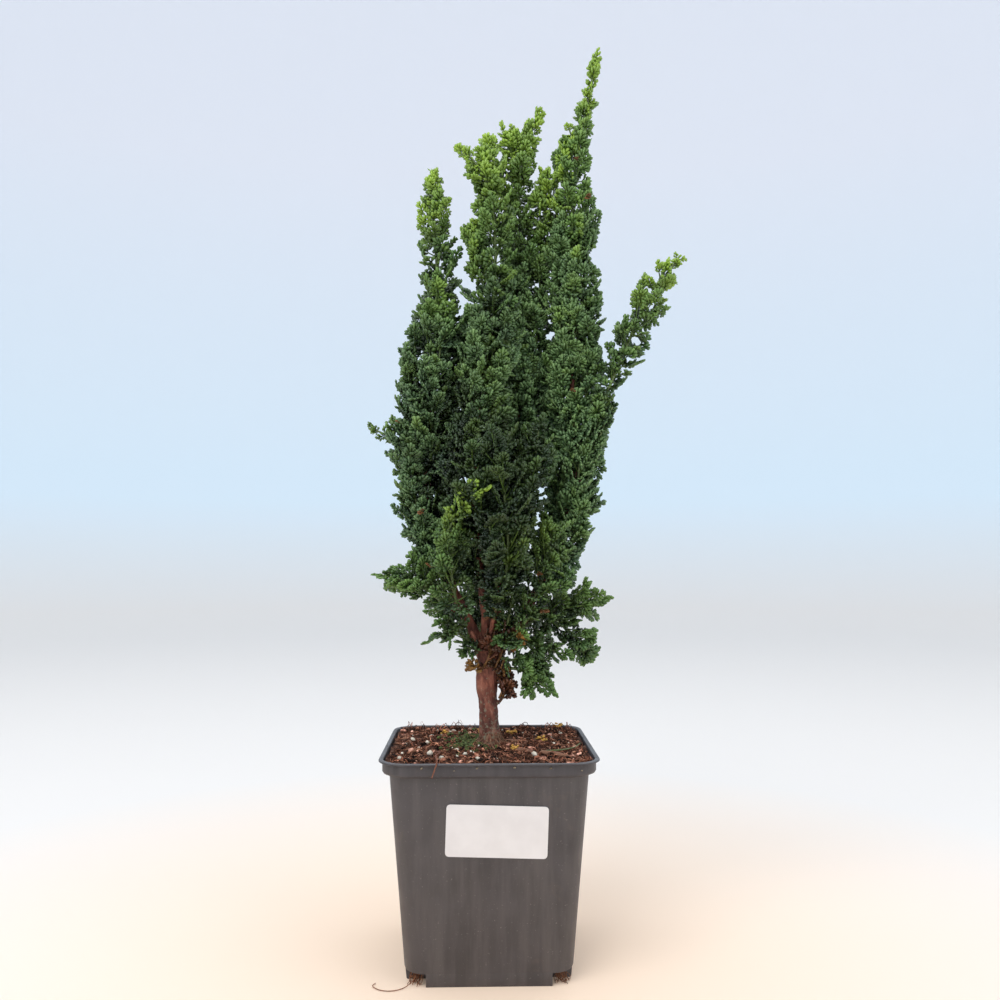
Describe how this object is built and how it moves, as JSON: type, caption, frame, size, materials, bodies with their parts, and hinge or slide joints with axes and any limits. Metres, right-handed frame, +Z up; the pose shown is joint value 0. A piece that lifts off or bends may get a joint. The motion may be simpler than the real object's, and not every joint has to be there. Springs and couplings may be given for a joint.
{
  "type": "bonsai tree in a nursery pot",
  "caption": "Young upright hinoki cypress bonsai with dense flattened green sprays on a short forked trunk, in a square dark grey plastic pot of potting soil with a blank label.",
  "frame": {"origin": "centre of the pot's underside, on the surface it stands on", "axes": "+Z up along the trunk; -Y is the front, the side with the label; +X is to the right seen from the front"},
  "size_m": [0.1684, 0.11, 0.5054],
  "materials": {
    "pot_plastic": "matt dark grey injection-moulded plastic with dust and faint streaks",
    "label_paper": "white sticker, blank",
    "soil": "coarse red-brown peat with perlite grains",
    "bark": "rough red-brown bark",
    "foliage_deep": "blue-green scale leaves, slightly waxy",
    "foliage_fresh": "fresh green scale leaves with yellow-green tips",
    "foliage_dead": "dry brown scale leaves"
  },
  "bodies": {
    "root": {"dead_tuft": "foliage_dead", "label": "label_paper", "pot": "pot_plastic", "soil": "soil", "spray_back_1a": "foliage_deep", "spray_back_1b": "foliage_deep", "spray_back_2a": "foliage_deep", "spray_back_2b": "foliage_deep", "spray_back_2c": "foliage_deep", "spray_back_tip": "foliage_fresh", "spray_far_right_1a": "foliage_deep", "spray_far_right_1b": "foliage_deep", "spray_far_right_tip": "foliage_fresh", "spray_front_1a": "foliage_deep", "spray_front_1b": "foliage_deep", "spray_front_2a": "foliage_deep", "spray_front_2b": "foliage_deep", "spray_front_2c": "foliage_deep", "spray_front_tip": "foliage_fresh", "spray_left_1a": "foliage_deep", "spray_left_1b": "foliage_deep", "spray_left_1c": "foliage_deep", "spray_left_2a": "foliage_deep", "spray_left_2b": "foliage_deep", "spray_left_2c": "foliage_deep", "spray_left_tip": "foliage_fresh", "spray_low_back_right_tip": "foliage_fresh", "spray_low_back_tip": "foliage_fresh", "spray_low_front_1a": "foliage_deep", "spray_low_front_left_tip": "foliage_fresh", "spray_low_front_right_tip": "foliage_fresh", "spray_low_front_tip": "foliage_fresh", "spray_low_left_tip": "foliage_fresh", "spray_low_left_under_tip": "foliage_fresh", "spray_low_right_hanging_tip": "foliage_fresh", "spray_low_right_tip": "foliage_fresh", "spray_middle_1a": "foliage_deep", "spray_middle_1b": "foliage_deep", "spray_middle_1c": "foliage_deep", "spray_middle_2a": "foliage_deep", "spray_middle_2b": "foliage_deep", "spray_middle_2c": "foliage_deep", "spray_middle_tip": "foliage_fresh", "spray_right_1a": "foliage_deep", "spray_right_1b": "foliage_deep", "spray_right_1c": "foliage_deep", "spray_right_2a": "foliage_deep", "spray_right_2b": "foliage_deep", "spray_right_2c": "foliage_deep", "spray_right_3a": "foliage_deep", "spray_right_3b": "foliage_deep", "spray_right_tip": "foliage_fresh", "spray_side_left_back_tip": "foliage_fresh", "spray_side_right_back_tip": "foliage_fresh", "trunk": "bark"}
  },
  "joints": []
}
